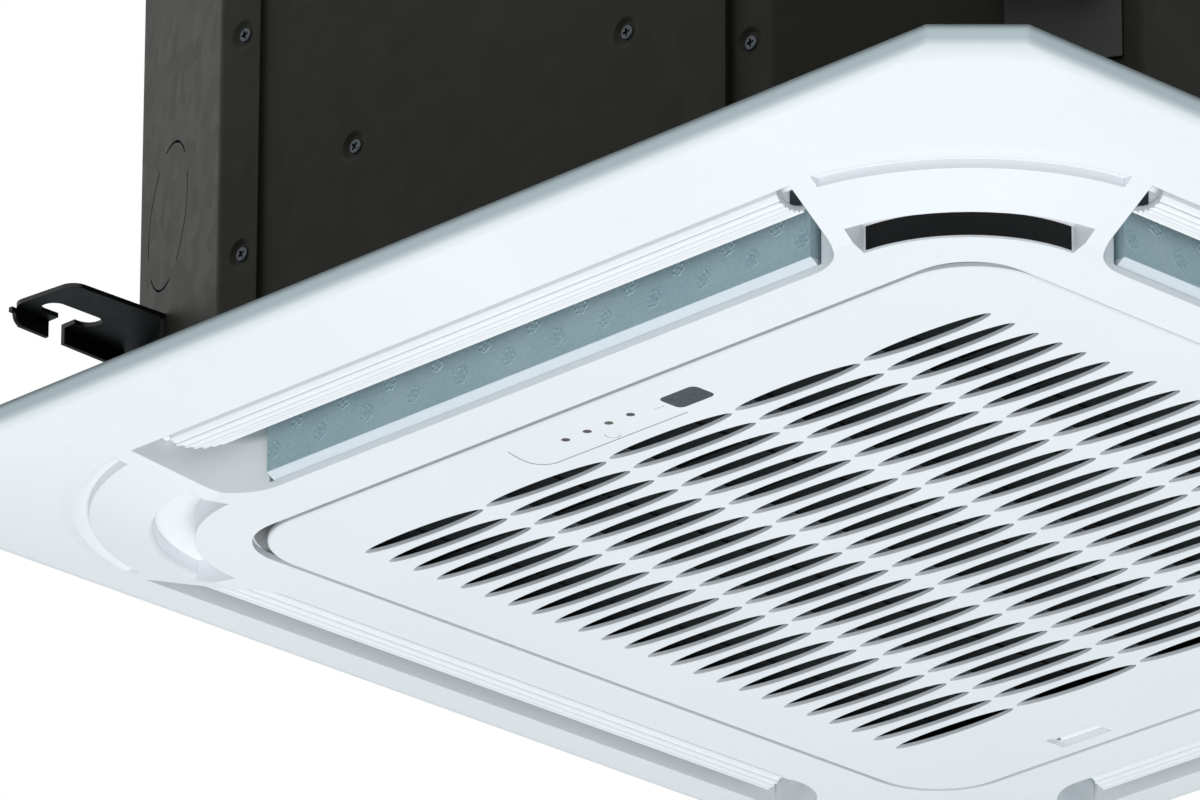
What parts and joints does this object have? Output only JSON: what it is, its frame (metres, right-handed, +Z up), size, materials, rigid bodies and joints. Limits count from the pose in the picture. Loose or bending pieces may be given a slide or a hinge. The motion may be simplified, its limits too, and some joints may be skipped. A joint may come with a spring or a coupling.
{
  "type": "ceiling cassette air conditioner",
  "caption": "Square ceiling panel with a slotted return grille and air outlets on its sides, below a sheet-steel casing with fan, coil, drain pan and hanging brackets.",
  "frame": {"origin": "centre of the panel's lowest face, which looks down into the room", "axes": "+Z up towards the ceiling void, +X along the grille's slots, -Y towards the signal lamps and the grille's hinge; the pipes leave by the corner between +X and +Y"},
  "size_m": [0.65, 0.65, 0.293],
  "materials": {
    "white_abs": "satin moulded ABS",
    "grille_abs": "satin moulded ABS",
    "eps_foam": "blue-grey expanded polystyrene",
    "eps_white": "expanded polystyrene",
    "galvanised": null,
    "black_paint": "black painted steel",
    "zinc": "zinc-plated steel",
    "copper": "drawn copper tube",
    "brass": "machined brass",
    "aluminium": "thin fin stock",
    "dark_plastic": "black plastic",
    "smoked": "smoked receiver window",
    "lamp_red": "unlit red lamp",
    "lamp_olive": "unlit yellow-green lamp",
    "lamp_green": "unlit green lamp",
    "rubber": "moulded rubber",
    "fan_plastic": "glass-filled polypropylene",
    "filter_mesh": "polypropylene mesh",
    "grey_plastic": "grey ABS",
    "circuit_green": "circuit board",
    "pvc": "rigid PVC"
  },
  "bodies": {
    "cabinet": {"bell_mouth": "grey_plastic", "casing_end_left": "galvanised", "casing_end_right": "galvanised", "casing_screws": "zinc", "casing_side_back": "galvanised", "casing_side_front": "galvanised", "casing_top": "galvanised", "coil_bends": "copper", "coil_fins": "aluminium", "coil_plate": "galvanised", "control_board": "circuit_green", "control_box": "grey_plastic", "control_lid": "grey_plastic", "drain_pan": "eps_white", "drain_plug": "rubber", "drain_pump": "dark_plastic", "drain_socket": "pvc", "fan_motor": "black_paint", "float_stem": "dark_plastic", "foam_liner": "eps_white", "gas_nut": "brass", "gas_pipe": "copper", "hanger_bracket_left_back": "black_paint", "hanger_bracket_left_front": "black_paint", "hanger_bracket_right_back": "black_paint", "hanger_bracket_right_front": "black_paint", "liquid_nut": "brass", "liquid_pipe": "copper", "louvre_motor_back": "dark_plastic", "louvre_motor_front": "dark_plastic", "louvre_motor_left": "dark_plastic", "louvre_motor_right": "dark_plastic", "motor_bushes": "rubber", "motor_screws": "zinc", "outlet_foam_back": "eps_foam", "outlet_foam_front": "eps_foam", "outlet_foam_left": "eps_foam", "outlet_foam_right": "eps_foam", "panel_frame": "white_abs", "panel_screws": "zinc", "pipe_plate": "galvanised", "terminal_block": "dark_plastic"},
    "front_flap": {"flap_front": "white_abs"},
    "right_flap": {"flap_right": "white_abs"},
    "back_flap": {"flap_back": "white_abs"},
    "left_flap": {"flap_left": "white_abs"},
    "fan": {"fan_wheel": "fan_plastic", "fan_nut": "zinc"},
    "grille": {"return_grille": "grille_abs", "display_board": "circuit_green", "signal_lamp_1": "lamp_red", "signal_lamp_2": "lamp_red", "signal_lamp_3": "lamp_olive", "signal_lamp_4": "lamp_green", "receiver_window": "smoked"},
    "left_latch": {"grille_latch_left": "grille_abs"},
    "right_latch": {"grille_latch_right": "grille_abs"},
    "filter": {"air_filter": "filter_mesh"},
    "button": {"test_button": "grille_abs"},
    "float": {"pump_float": "dark_plastic"}
  },
  "joints": [
    {"name": "flap_front_swing", "type": "hinge", "parent": "cabinet", "child": "front_flap", "pos_m": [0, -0.268, 0.0205], "axis": [1, 0, 0], "range_deg": [-38, 4]},
    {"name": "flap_right_swing", "type": "hinge", "parent": "cabinet", "child": "right_flap", "pos_m": [0.268, 0, 0.0205], "axis": [0, 1, 0], "range_deg": [-38, 4]},
    {"name": "flap_back_swing", "type": "hinge", "parent": "cabinet", "child": "back_flap", "pos_m": [0, 0.268, 0.0205], "axis": [-1, 0, 0], "range_deg": [-38, 4]},
    {"name": "flap_left_swing", "type": "hinge", "parent": "cabinet", "child": "left_flap", "pos_m": [-0.268, 0, 0.0205], "axis": [0, -1, 0], "range_deg": [-38, 4]},
    {"name": "fan_spin", "type": "hinge", "parent": "cabinet", "child": "fan", "pos_m": [0, 0, 0.16], "axis": [0, 0, 1], "continuous": true},
    {"name": "grille_open", "type": "hinge", "parent": "cabinet", "child": "grille", "pos_m": [0, -0.202, 0.0036], "axis": [-1, 0, 0], "range_deg": [0, 80]},
    {"name": "left_latch_slide", "type": "slide", "parent": "grille", "child": "left_latch", "axis": [0, 1, 0], "range_m": [0, 0.005]},
    {"name": "right_latch_slide", "type": "slide", "parent": "grille", "child": "right_latch", "axis": [0, 1, 0], "range_m": [0, 0.005]},
    {"name": "filter_lift", "type": "slide", "parent": "grille", "child": "filter", "axis": [0, 0, 1], "range_m": [0, 0.0045]},
    {"name": "test_button_press", "type": "slide", "parent": "grille", "child": "button", "axis": [0, 0, 1], "range_m": [0, 0.0008], "stiffness_N_per_m": 200, "springref_m": -0.002},
    {"name": "float_rise", "type": "slide", "parent": "cabinet", "child": "float", "axis": [0, 0, 1], "range_m": [0, 0.008]}
  ],
  "couplings": [
    {"joint": "flap_right_swing", "follows": "flap_front_swing", "ratio": 1},
    {"joint": "flap_back_swing", "follows": "flap_front_swing", "ratio": 1},
    {"joint": "flap_left_swing", "follows": "flap_front_swing", "ratio": 1}
  ]
}
